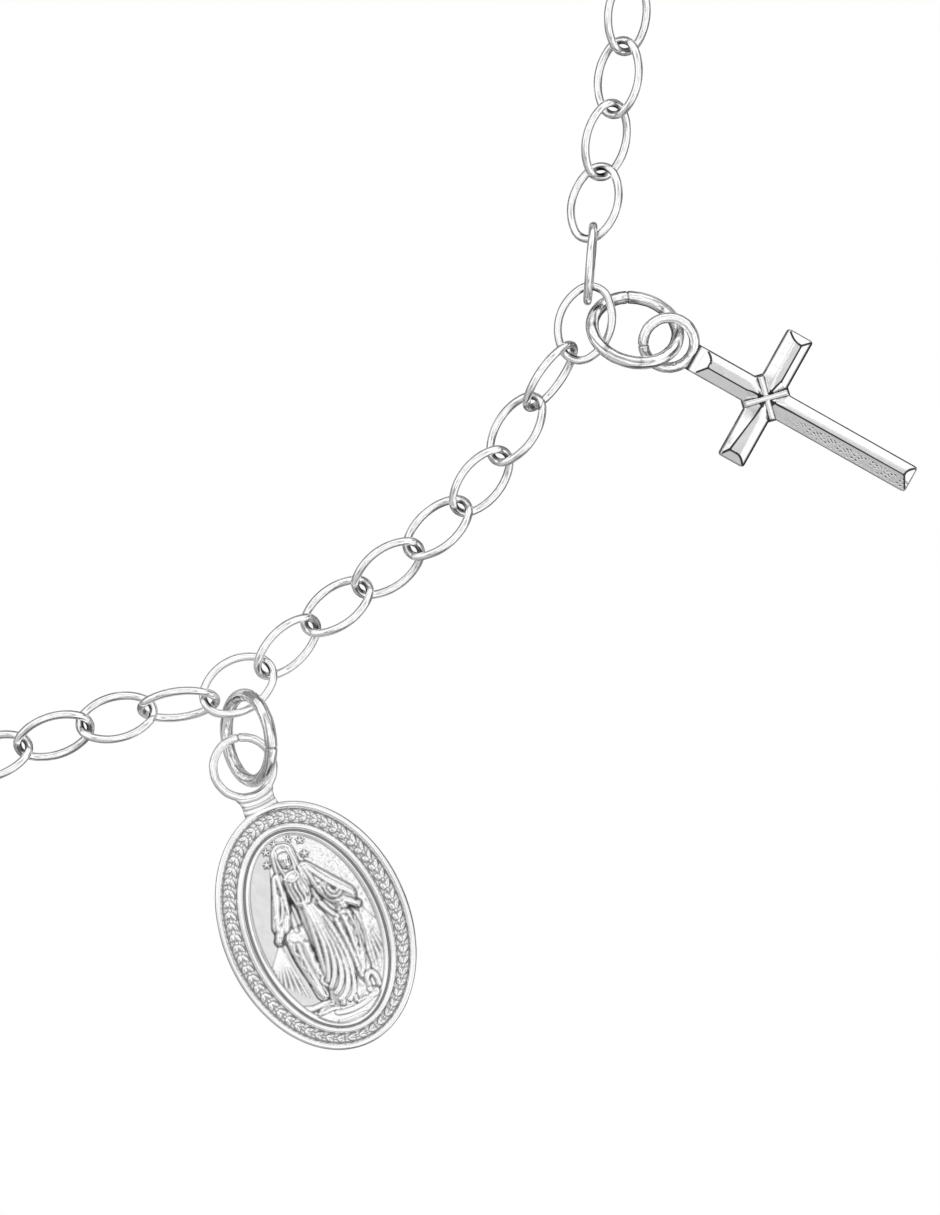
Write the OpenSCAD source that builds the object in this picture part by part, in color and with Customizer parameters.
// Charm bracelet: a cable chain of oval links, closed by a spring ring clasp.
// An oval medal and a small cross hang from two of its links by round rings.
// It lies on a surface at z = 0. Sizes are in millimetres, and +Y is up in the view from above.
// The origin is the middle of the loop, where the wrist goes in.

/* [Chain link] */
// Outside length of an oval link
link_length = 4.08; // [4.06:0.01:4.1]
// Outside width of an oval link
link_width = 2.96; // [2.94:0.01:2.98]
// Thickness of the link's wire
link_wire = 0.41; // [0.39:0.01:0.41]
// Centreline radius of the tight bend at each end of a link
link_end_r = 0.95; // [0.94:0.01:0.96]

/* [Chain behind the charms] */
// Centreline radius of the two corners of the run
corner_r = 19; // [18.9:0.1:19.1]
// Centreline radius of the long side between the corners
side_r = 35; // [34.8:0.1:35.2]
// How far a plain link rolls about the chain's own line
plain_roll = 42.5; // [42:0.5:43]
// Height of a plain link's centre above the surface
plain_height = 1.08; // [1.08:0.01:1.1]

/* [Clasp] */
// Outside diameter of the clasp's ring
clasp_od = 5.5; // [5.45:0.05:5.55]
// Thickness of the clasp's tube
clasp_wire = 0.9; // [0.86:0.01:0.9]
// Outside diameter of the small eye soldered to the clasp
eye_od = 2.5; // [2.48:0.01:2.52]
// Thickness of the eye's wire
eye_wire = 0.5; // [0.48:0.01:0.5]
// Height of the clasp's centre above the surface
clasp_height = 1.4; // [1.39:0.01:1.41]
// Outside diameter of the plain ring at the chain's other end
end_ring_od = 4.05; // [4.03:0.01:4.07]
// Thickness of that ring's wire
end_ring_wire = 0.5; // [0.48:0.01:0.5]

/* [Jump rings] */
// Outside diameter of each charm's jump ring
jump_od = 4.85; // [4.84:0.01:4.86]
// Thickness of its wire
jump_wire = 0.65; // [0.63:0.01:0.65]

/* [Medal] */
// Half of the medal's width
medal_half_w = 4.58; // [4.55:0.01:4.6]
// Half of the medal's height, without its bail
medal_half_h = 6.27; // [6.24:0.01:6.3]
// Height of the rim's crest above the back
medal_thickness = 1.25; // [1.2:0.01:1.3]
// Height of the field behind the figure
field_height = 0.85; // [0.8:0.01:0.9]
// Outside diameter of the medal's bail ring
medal_bail_od = 3.36; // [3.34:0.01:3.38]
// Thickness of the bail ring's wire
medal_bail_wire = 0.44; // [0.42:0.01:0.46]

/* [Cross] */
// Length of the arm below the middle
cross_foot = 8.12; // [8:0.01:8.2]
// Length of the arm above the middle, up to the bail
cross_head = 4.1; // [4.05:0.01:4.15]
// Length of each side arm
cross_side = 3.49; // [3.4:0.01:3.6]
// Width of an arm
cross_width = 1.36; // [1.3:0.01:1.4]
// Thickness of the cross
cross_thickness = 1.1; // [1.05:0.01:1.15]
// Outside diameter of the cross's bail ring
cross_bail_od = 3.02; // [3.01:0.01:3.03]
// Thickness of that ring's wire
cross_bail_wire = 0.54; // [0.52:0.01:0.54]

/* [Hidden] */
silver = [0.82, 0.82, 0.84];
steel_bright = [0.76, 0.76, 0.79];

// The links of the charm side, from the top of the view down and to the left.
// Columns: x, y and z of the centre, heading, pitch of the leading end, roll.
CHARM_SIDE = [
    [29.24, 7.05, 1.07, -96.5, 0, -43],
    [28.80, 3.99, 1.05, -98.5, 0, 41],
    [28.21, 0.96, 1.05, -101.5, -5, -41],
    [27.66, -2.07, 1.10, -103, 9, 31],
    [27.45, -5.03, 1.49, -94.5, 0, -88],
    [27.18, -7.93, 1.48, -107, -3, 6],
    [25.50, -10.49, 1.38, -125.5, 0, -66],
    [23.86, -13.04, 1.10, -123, 0, 43],
    [22.16, -15.57, 1.09, -129.5, 0, -42],
    [20.05, -17.83, 1.10, -139, 0, 43],
    [17.65, -19.78, 1.09, -144.5, 0, -42],
    [15.17, -21.64, 1.10, -144.5, 0, 43],
    [12.77, -23.59, 1.22, -138, 8, -47],
    [10.39, -25.46, 1.42, -150, 0, 12],
    [7.50, -26.38, 1.33, -172.5, 0, -60],
    [4.49, -27.02, 1.05, -166.5, 0, 38],
    [1.46, -27.90, 1.10, -162, 0, -43],
    [-1.51, -28.90, 1.08, -161.5, 0, 42]
];

// Round rings that lean. Columns: x, y and z of the centre, heading of the high side, lean.
MEDAL_RING_POSE = [10.91, -28.00, 2.14, 8, 59];
CROSS_RING_POSE = [29.60, -8.26, 1.72, -103, 41];
MEDAL_BAIL_POSE = [10.63, -29.44, 1.05, 0, 0];
CROSS_BAIL_POSE = [31.24, -8.87, 1.72, 100, 14];
// Charms. Columns: x and y of the middle, turn from upright, to the left.
MEDAL_POSE = [14.14, -37.10, 23.5];
CROSS_POSE = [35.90, -11.52, 60.7];

// The medal's round profile, from its back edge to the field: each row is one oval loop.
// Columns: half width and half height, both less than the medal's own, height of the centre
// line of the loop above the middle, z, and extra z on every second point.
MEDAL_LOOPS = [
    [0.10, 0.10, 0, 0, 0],
    [0, 0, 0, 0.12, 0],
    [0, 0, 0, medal_thickness - 0.12, 0],
    [0.08, 0.08, 0, medal_thickness, 0],
    [0.23, 0.23, 0, medal_thickness, 0],
    [0.32, 0.32, 0, medal_thickness - 0.26, 0],
    [0.40, 0.40, -0.02, medal_thickness - 0.26, 0.14],
    [0.92, 0.82, -0.11, medal_thickness - 0.26, 0.14],
    [1.00, 0.90, -0.13, medal_thickness - 0.26, 0],
    [1.10, 0.96, -0.14, medal_thickness - 0.04, 0],
    [1.28, 1.12, -0.15, medal_thickness - 0.02, 0],
    [1.46, 1.29, -0.16, field_height, 0]
];

// The rounded masses of the figure, in the medal's own plane with +y to its top.
// Columns: x and y of one end, x and y of the other, radius at each end, rise.
MASSES = [
    [-0.12, 3.75, -0.15, 3.20, 0.60, 0.66, 0.26],
    [-0.13, 3.62, -0.13, 3.34, 0.36, 0.31, 0.44],
    [-0.75, 2.70, -1.55, 0.60, 0.38, 0.46, 0.26],
    [0.55, 2.70, 1.85, 0.80, 0.44, 0.58, 0.26],
    [-0.10, 2.45, -0.06, 1.30, 0.62, 0.50, 0.38],
    [0.00, 1.10, 0.18, -3.55, 0.52, 0.95, 0.32],
    [-1.15, -0.20, -1.00, -3.20, 0.52, 0.32, 0.22],
    [1.35, 0.00, 1.35, -2.70, 0.50, 0.36, 0.22],
    [1.10, 1.60, 1.60, 0.60, 0.40, 0.42, 0.32],
    [-1.05, 1.50, -1.45, 0.60, 0.32, 0.36, 0.30],
    [1.80, 0.62, 2.28, 0.18, 0.24, 0.17, 0.34],
    [-1.60, 0.55, -1.95, -0.05, 0.24, 0.18, 0.34],
    [-0.20, -3.80, -0.25, -3.95, 0.22, 0.20, 0.36],
    [0.40, -3.90, 0.38, -4.05, 0.22, 0.20, 0.36],
    [-1.10, -4.35, 1.10, -4.35, 0.62, 0.62, 0.20]
];

// The drapery's ridges and the other fine lines of the relief, each a curve through four handles.
// Columns: x and y of the start, first handle, second handle and end, half width, rise.
RIDGES = [
    [-0.15, 1.05, -0.20, 0.00, -0.35, -1.20, -0.52, -2.30, 0.14, 0.12],
    [-0.08, 1.05, 0.05, -0.20, 0.15, -1.60, -0.55, -2.70, 0.14, 0.12],
    [0.00, 1.00, 0.25, -0.30, 0.50, -2.20, -0.50, -3.05, 0.14, 0.12],
    [0.06, 1.00, 0.50, -0.30, 0.75, -2.90, -0.40, -3.40, 0.14, 0.12],
    [0.14, 1.00, 0.75, -0.40, 1.00, -3.40, -0.30, -3.75, 0.14, 0.12],
    [0.22, 1.00, 1.05, -0.50, 1.10, -3.60, 0.10, -3.95, 0.14, 0.12],
    [-0.42, 1.30, -0.20, 1.18, 0.00, 1.18, 0.25, 1.32, 0.11, 0.10],
    [-0.60, 4.05, -0.85, 3.20, -0.85, 1.60, -0.95, 0.15, 0.12, 0.14],
    [-0.85, 3.30, -1.20, 2.40, -1.35, 1.60, -1.75, 0.50, 0.13, 0.12],
    [0.35, 4.05, 0.45, 2.60, 0.30, 1.00, 1.15, 0.00, 0.12, 0.14],
    [0.50, 3.50, 0.75, 2.40, 0.70, 0.90, 1.35, 0.30, 0.12, 0.12],
    [0.60, 3.20, 1.00, 2.20, 1.60, 1.50, 2.30, 0.75, 0.13, 0.13],
    [-0.62, 3.90, -0.50, 4.42, 0.25, 4.45, 0.38, 3.95, 0.12, 0.12],
    [-1.50, -0.35, -1.60, -1.20, -1.35, -2.20, -1.02, -3.20, 0.13, 0.13],
    [-1.15, -0.50, -1.20, -1.30, -1.10, -2.30, -0.95, -3.30, 0.12, 0.12],
    [-0.78, -0.60, -0.75, -1.30, -0.85, -1.90, -0.60, -2.40, 0.12, 0.10],
    [1.02, -0.10, 1.12, -1.20, 1.15, -2.20, 1.10, -3.10, 0.12, 0.12],
    [1.40, -0.10, 1.50, -0.90, 1.35, -1.60, 1.30, -2.50, 0.12, 0.12],
    [1.75, 0.00, 1.95, -1.00, 1.80, -1.90, 1.20, -2.90, 0.13, 0.13],
    [-2.00, -3.55, -1.60, -3.80, -1.20, -3.55, -0.75, -3.75, 0.14, 0.16],
    [1.20, -3.90, 1.15, -2.80, 1.85, -2.90, 1.70, -3.80, 0.14, 0.16],
    [-0.70, -4.30, 0.00, -4.55, 0.80, -4.45, 1.50, -4.00, 0.14, 0.12]
];

// Small stars round the head. Columns: x and y.
STARS = [[-1.02, 3.62], [-0.82, 4.22], [-0.30, 4.66], [0.42, 4.58], [0.92, 4.16], [0.88, 3.42]];
star_r = 0.2;
star_rise = 0.22;
// Rays falling from the hands, x and y of the hand and then of each ray's end.
RIGHT_RAYS = [[2.32, 0.00], [2.86, -1.30], [2.72, -1.95], [2.48, -2.50], [2.16, -2.92]];
LEFT_RAYS = [[-1.98, -0.22], [-2.72, -1.35], [-2.56, -2.05], [-2.30, -2.60], [-1.98, -2.98]];
ray_half_w = 0.14;
ray_rise = 0.09;

curve_steps = 6;
medal_sectors = 144;
field_columns = 48;
wire_faces = 24;
bend_faces = 48;
ring_faces = 96;

// How far each straight half of a link laps into the tight bends, and how much thinner it is there.
bend_lap = 1.5;
bend_step = 0.01;

half_l = (link_length - link_wire) / 2;
half_w = (link_width - link_wire) / 2;
side_bend_r = ((half_l - link_end_r) ^ 2 + half_w ^ 2 - link_end_r ^ 2) / (2 * (half_w - link_end_r));
side_bend_half = asin((half_l - link_end_r) / (side_bend_r - link_end_r));

// Part of a round wire bent to a circle in the xy plane, its middle in the direction given.
module bend(radius, middle, sweep, wire) {
    rotate([0, 0, middle - sweep / 2])
        rotate_extrude(angle = sweep, $fn = bend_faces)
            translate([radius, 0]) circle(d = wire, $fn = wire_faces);
}

// A closed round ring of wire, flat on the xy plane.
module wire_ring(od, wire) {
    rotate_extrude($fn = ring_faces)
        translate([(od - wire) / 2, 0]) circle(d = wire, $fn = wire_faces);
}

// An oval link, flat on the xy plane, its length along x.
module oval_link() {
    for (end = [0, 180])
        rotate([0, 0, end]) {
            translate([half_l - link_end_r, 0, 0])
                bend(link_end_r, 0, 180 - 2 * side_bend_half, link_wire);
            translate([0, half_w - side_bend_r, 0])
                bend(side_bend_r, 90, 2 * (side_bend_half + bend_lap), link_wire - bend_step);
        }
}

// Sets a link by its centre, heading, pitch and roll.
module place_link(pose) {
    translate([pose[0], pose[1], pose[2]]) rotate([pose[5], -pose[4], pose[3]]) children();
}

// Sets a ring by its centre, the heading of its high side and its lean.
module place_ring(pose) {
    translate([pose[0], pose[1], pose[2]]) rotate([0, -pose[4], pose[3]]) children();
}

// Flat vectors for a heading and for the direction to its right.
function ahead(heading) = [cos(heading), sin(heading)];
function to_right(heading) = [sin(heading), -cos(heading)];
function heading_of(v) = atan2(v[1], v[0]);
function flat(row) = [row[0], row[1]];

// The plain run starts and ends half a link beyond the charm side.
links_to_clasp = 20;
links_from_clasp = 21;
charm_side_pitch = 3.085;
last_seen = CHARM_SIDE[len(CHARM_SIDE) - 1];
first_seen = CHARM_SIDE[0];
start_heading = last_seen[3];
end_heading = first_seen[3];
run_start = flat(last_seen) + ahead(start_heading) * charm_side_pitch / 2;
run_end = flat(first_seen) - ahead(end_heading) * charm_side_pitch / 2;

// It goes round a corner, a long gentle side and a second corner, always turning right.
corner_a = run_start + to_right(start_heading) * corner_r;
corner_b = run_end + to_right(end_heading) * corner_r;
corner_gap = norm(corner_b - corner_a);
side_heading = heading_of(corner_b - corner_a);
side_sweep_half = asin(corner_gap / 2 / (side_r - corner_r));
side_centre = (corner_a + corner_b) / 2
    + to_right(side_heading) * sqrt((side_r - corner_r) ^ 2 - (corner_gap / 2) ^ 2);
corner_a_length = corner_r * (start_heading + 360 - side_heading - side_sweep_half) * PI / 180;
side_length = side_r * 2 * side_sweep_half * PI / 180;
corner_b_length = corner_r * (side_heading - side_sweep_half - end_heading) * PI / 180;
run_length = corner_a_length + side_length + corner_b_length;

function degrees_along(length, radius) = length / radius * 180 / PI;
function on_arc(centre, radius, heading) = centre - to_right(heading) * radius;
// The point at a distance along the run.
function run_point(t) =
    t < corner_a_length
        ? on_arc(corner_a, corner_r, start_heading - degrees_along(t, corner_r))
    : t < corner_a_length + side_length
        ? on_arc(side_centre, side_r,
            side_heading + side_sweep_half - degrees_along(t - corner_a_length, side_r))
    : on_arc(corner_b, corner_r,
        side_heading - side_sweep_half
            - degrees_along(t - corner_a_length - side_length, corner_r));

// The clasp and the plain ring take up their own lengths between the two halves of the run.
link_eye_slack = 0.26;
clasp_ring_slack = 0.5;
ring_link_slack = 0.2;
eye_sink = 0.55;
lap_link_eye = (link_wire + eye_wire + link_eye_slack) / 2;
lap_clasp_ring = (clasp_wire + end_ring_wire + clasp_ring_slack) / 2;
lap_ring_link = (link_wire + end_ring_wire + ring_link_slack) / 2;
clasp_span = eye_od - eye_sink + clasp_od - lap_link_eye - lap_clasp_ring;
ring_span = end_ring_od - lap_clasp_ring - lap_ring_link;
run_pitch = (run_length - clasp_span - ring_span) / (links_to_clasp + links_from_clasp);
clasp_start = links_to_clasp * run_pitch;
ring_start = clasp_start + clasp_span;
second_start = ring_start + ring_span;

// The links at the clasp stand more steeply. Columns: z, pitch and roll.
LINK_AT_EYE = [1.36, 4, 59];
LINK_AT_END_RING = [1.33, -2.5, 55];
LINK_BEFORE_EYE = [1.10, 1, -plain_roll];

// A link between two distances along the run. The lean holds its z, pitch and roll.
function run_link(t, lean) =
    let(a = run_point(t), b = run_point(t + run_pitch), middle = (a + b) / 2)
    [middle[0], middle[1], lean[0], heading_of(b - a), lean[1], lean[2]];
function plain_lean(side) = [plain_height, 0, side * plain_roll];

RUN_TO_CLASP = [
    for (i = [0:links_to_clasp - 1])
        run_link(i * run_pitch,
            i == links_to_clasp - 1 ? LINK_AT_EYE
            : i == links_to_clasp - 2 ? LINK_BEFORE_EYE
            : plain_lean(i % 2 == 0 ? -1 : 1))
];
RUN_FROM_CLASP = [
    for (i = [0:links_from_clasp - 1])
        run_link(second_start + i * run_pitch,
            i == 0 ? LINK_AT_END_RING : plain_lean(i % 2 == 0 ? 1 : -1))
];

module chain() {
    color(silver)
        for (pose = concat(CHARM_SIDE, RUN_TO_CLASP, RUN_FROM_CLASP))
            place_link(pose) oval_link();
}

// The clasp lies along its own stretch of the run, its eye towards the first half.
clasp_heading = heading_of(run_point(ring_start) - run_point(clasp_start));
clasp_tip = run_point(clasp_start) - ahead(clasp_heading) * lap_link_eye;
clasp_middle = eye_od - eye_sink + clasp_od / 2;
nub_d = 0.7;
nub_length = 0.9;
nub_heading = 115;

module clasp() {
    color(steel_bright)
        translate([clasp_tip[0], clasp_tip[1], clasp_height]) rotate([0, 0, clasp_heading]) {
            translate([eye_od / 2, 0, 0]) wire_ring(eye_od, eye_wire);
            translate([clasp_middle, 0, 0]) {
                wire_ring(clasp_od, clasp_wire);
                rotate([0, 90, nub_heading]) translate([0, 0, clasp_od / 2 - clasp_wire / 2])
                    cylinder(d = nub_d, h = nub_length, $fn = wire_faces);
            }
        }
}

end_ring_lean = 37;
end_ring_height = 1.38;
end_ring_heading = heading_of(run_point(second_start) - run_point(ring_start));
end_ring_centre = run_point(ring_start)
    + ahead(end_ring_heading) * (end_ring_od / 2 - lap_clasp_ring);
END_RING_POSE = [
    end_ring_centre[0], end_ring_centre[1], end_ring_height, end_ring_heading - 90, end_ring_lean
];

module end_ring() {
    color(silver) place_ring(END_RING_POSE) wire_ring(end_ring_od, end_ring_wire);
}

module medal_jump_ring() {
    color(silver) place_ring(MEDAL_RING_POSE) wire_ring(jump_od, jump_wire);
}

module cross_jump_ring() {
    color(silver) place_ring(CROSS_RING_POSE) wire_ring(jump_od, jump_wire);
}

// Height of a round-backed ridge at a distance from its line.
function dome(distance, radius) = distance >= radius ? 0 : sqrt(1 - (distance / radius) ^ 2);
// How far along a straight piece a point lies, from 0 to 1.
function share_along(p, a, b) =
    (b == a) ? 0 : min(1, max(0, (p - a) * (b - a) / ((b - a) * (b - a))));
function mass_rise(p, m) =
    let(a = [m[0], m[1]], b = [m[2], m[3]], s = share_along(p, a, b))
    m[6] * dome(norm(p - a - s * (b - a)), m[4] + s * (m[5] - m[4]));
function bezier(c, t) =
    let(s = 1 - t)
    s ^ 3 * [c[0], c[1]] + 3 * s ^ 2 * t * [c[2], c[3]]
        + 3 * s * t ^ 2 * [c[4], c[5]] + t ^ 3 * [c[6], c[7]];
// A ridge as straight pieces: start, end, half width, rise.
function pieces(path, half_w, rise) =
    [for (i = [1:len(path) - 1]) [path[i - 1], path[i], half_w, rise]];
RIDGE_PIECES = [
    for (c = RIDGES)
        each pieces([for (i = [0:curve_steps]) bezier(c, i / curve_steps)], c[8], c[9])
];
RAY_PIECES = [
    for (rays = [LEFT_RAYS, RIGHT_RAYS], i = [1:len(rays) - 1])
        [rays[0], rays[i], ray_half_w, ray_rise]
];
STAR_PIECES = [for (p = STARS) [p, p, star_r, star_rise]];
LINES = concat(RIDGE_PIECES, RAY_PIECES, STAR_PIECES);
function near(p, l) =
    p[0] > min(l[0][0], l[1][0]) - l[2] && p[0] < max(l[0][0], l[1][0]) + l[2]
    && p[1] > min(l[0][1], l[1][1]) - l[2] && p[1] < max(l[0][1], l[1][1]) + l[2];
function line_rise(p, l) =
    l[3] * dome(norm(p - l[0] - share_along(p, l[0], l[1]) * (l[1] - l[0])), l[2]);
// How far the relief stands above the field at a point.
function relief(p) =
    max([for (m = MASSES) mass_rise(p, m)])
    + max(concat([0], [for (l = LINES) if (near(p, l)) line_rise(p, l)]));

function medal_loop(row) = [
    for (i = [0:medal_sectors - 1])
        let(a = i * 360 / medal_sectors)
        [
            (medal_half_w - row[0]) * cos(a),
            row[2] + (medal_half_h - row[1]) * sin(a),
            row[3] + (i % 2) * row[4]
        ]
];
// The field inside the last loop is rows of points between its left and its right edge.
field_rows = medal_sectors / 2;
field_edge = MEDAL_LOOPS[len(MEDAL_LOOPS) - 1];
function field_point(row, column) =
    let(
        a = row * 180 / field_rows - 90,
        across = 2 * column / field_columns - 1,
        p = [
            across * (medal_half_w - field_edge[0]) * cos(a),
            field_edge[2] + (medal_half_h - field_edge[1]) * sin(a)
        ]
    )
    [p[0], p[1], field_height + relief(p)];
medal_points = concat(
    [[0, 0, 0]],
    [for (row = MEDAL_LOOPS) each medal_loop(row)],
    [for (row = [1:field_rows - 1], column = [1:field_columns - 1]) field_point(row, column)]
);
function loop_point(loop, i) = 1 + loop * medal_sectors + i % medal_sectors;
edge_loop = len(MEDAL_LOOPS) - 1;
quarter = medal_sectors / 4;
// The number of the point at a row and column; the two ends of a row are on the last loop.
function at(row, column) =
    column == 0 || row == 0 || row == field_rows ? loop_point(edge_loop, 3 * quarter - row)
    : column == field_columns ? loop_point(edge_loop, row + 3 * quarter)
    : 1 + len(MEDAL_LOOPS) * medal_sectors + (row - 1) * (field_columns - 1) + column - 1;
// Two triangles, cut along the diagonal whose ends are nearer in height, so that ridges stay whole.
function two_triangles(a, b, c, d) =
    abs(medal_points[a][2] - medal_points[c][2]) < abs(medal_points[b][2] - medal_points[d][2])
        ? [[a, b, c], [a, c, d]]
        : [[a, b, d], [b, c, d]];
function fan(tip, row) = [
    for (column = [0:field_columns - 1])
        row > tip ? [at(tip, 0), at(row, column), at(row, column + 1)]
        : [at(tip, 0), at(row, column + 1), at(row, column)]
];
medal_faces = concat(
    [for (i = [0:medal_sectors - 1]) [0, loop_point(0, i), loop_point(0, i + 1)]],
    [
        for (j = [0:edge_loop - 1], i = [0:medal_sectors - 1])
            each [
                [loop_point(j, i), loop_point(j + 1, i), loop_point(j + 1, i + 1)],
                [loop_point(j, i), loop_point(j + 1, i + 1), loop_point(j, i + 1)]
            ]
    ],
    [
        for (row = [1:field_rows - 2], column = [0:field_columns - 1])
            each two_triangles(
                at(row, column), at(row + 1, column), at(row + 1, column + 1), at(row, column + 1)
            )
    ],
    fan(0, 1),
    fan(field_rows, field_rows - 1)
);

// The flat neck between the medal's rim and its bail ring, half widths from bottom to top.
NECK_OUTLINE = [[0.93, 6.02], [0.85, 6.62], [1.22, 7.35]];
neck_thickness = 0.4;
medal_bail_rise = 8.43;
medal_bail_offset = -0.17;

module medal_neck() {
    right = NECK_OUTLINE;
    left = [for (i = [len(right) - 1:-1:0]) [-right[i][0], right[i][1]]];
    translate([medal_bail_offset, 0, MEDAL_BAIL_POSE[2] - neck_thickness / 2])
        linear_extrude(neck_thickness)
            difference() {
                polygon(concat(right, left));
                translate([0, medal_bail_rise])
                    circle(d = medal_bail_od - medal_bail_wire, $fn = bend_faces);
            }
}

module medal() {
    color(silver) {
        translate([MEDAL_POSE[0], MEDAL_POSE[1], 0]) rotate([0, 0, MEDAL_POSE[2]]) {
            polyhedron(medal_points, medal_faces);
            medal_neck();
        }
        place_ring(MEDAL_BAIL_POSE) wire_ring(medal_bail_od, medal_bail_wire);
    }
}

// The cross lies with its foot on the surface and its head lifted by the jump ring.
cross_pitch = 5;
cross_plate = 0.8;
cross_web = 0.3;
cross_bevel = 0.45;
cross_tip = 0.4;
// Bare stretch between the head arm's bevel and the bail
cross_neck = 0.42;
rib_w = 0.34;
rib_reach = 1.16;
rib_tip_w = 0.2;
rib_tip_reach = 1.05;
sliver = 0.01;

// The flat along each arm's top, which lies further to one side on some arms than on others.
// Columns: turn of the arm, reach, then the flat's right and left edge near the middle and near
// the end, as shares of half the arm's width.
ARM_FLATS = [
    [0, cross_head - cross_neck, 0.45, -0.12, 0.45, -0.12],
    [180, cross_foot, 0.00, -0.30, -0.05, -0.44],
    [-90, cross_side, 0.33, -0.20, 0.33, -0.22],
    [90, cross_side, 0.13, -0.28, 0.53, -0.36]
];
// The raised ribs across the middle, one passing over the other. Columns: turn, height of the top.
CORNER_RIBS = [
    [45, 1.12],
    [135, 1.16]
];

// The plan of the cross, with small webs in its four inner corners.
module cross_plan() {
    half = cross_width / 2;
    web = half + cross_web;
    translate([-half, -cross_foot]) square([cross_width, cross_foot + cross_head]);
    translate([-cross_side, -half]) square([2 * cross_side, cross_width]);
    polygon([[web, half], [half, web], [-half, web], [-web, half],
        [-web, -half], [-half, -web], [half, -web], [web, -half]]);
}

// One arm's bevelled top along +y, from a point near the middle to a hipped end.
module arm_top(reach, near_right, near_left, far_right, far_left) {
    half = cross_width / 2;
    near = cross_tip + half;
    far = reach - cross_bevel;
    hull() {
        translate([0, 0, cross_plate - sliver]) linear_extrude(sliver)
            polygon([[0, 0], [half, half], [half, reach], [-half, reach], [-half, half]]);
        translate([0, 0, cross_thickness - sliver]) linear_extrude(sliver)
            polygon([[0, cross_tip], [near_right * half, near], [far_right * half, far],
                [far_left * half, far], [near_left * half, near]]);
    }
}

// A raised rib across the middle, between two opposite inner corners.
module corner_rib(height) {
    hull() {
        translate([-rib_reach, -rib_w / 2, cross_plate - sliver])
            cube([2 * rib_reach, rib_w, sliver]);
        translate([-rib_tip_reach, -rib_tip_w / 2, height - sliver])
            cube([2 * rib_tip_reach, rib_tip_w, sliver]);
    }
}

module cross() {
    color(silver) {
        translate([CROSS_POSE[0], CROSS_POSE[1], cross_foot * sin(cross_pitch)])
            rotate([cross_pitch, 0, CROSS_POSE[2]]) {
                linear_extrude(cross_plate) cross_plan();
                for (arm = ARM_FLATS)
                    rotate([0, 0, arm[0]]) arm_top(arm[1], arm[2], arm[3], arm[4], arm[5]);
                for (rib = CORNER_RIBS)
                    rotate([0, 0, rib[0]]) corner_rib(rib[1]);
            }
        place_ring(CROSS_BAIL_POSE) wire_ring(cross_bail_od, cross_bail_wire);
    }
}

chain();
medal_jump_ring();
medal();
cross_jump_ring();
cross();
clasp();
end_ring();
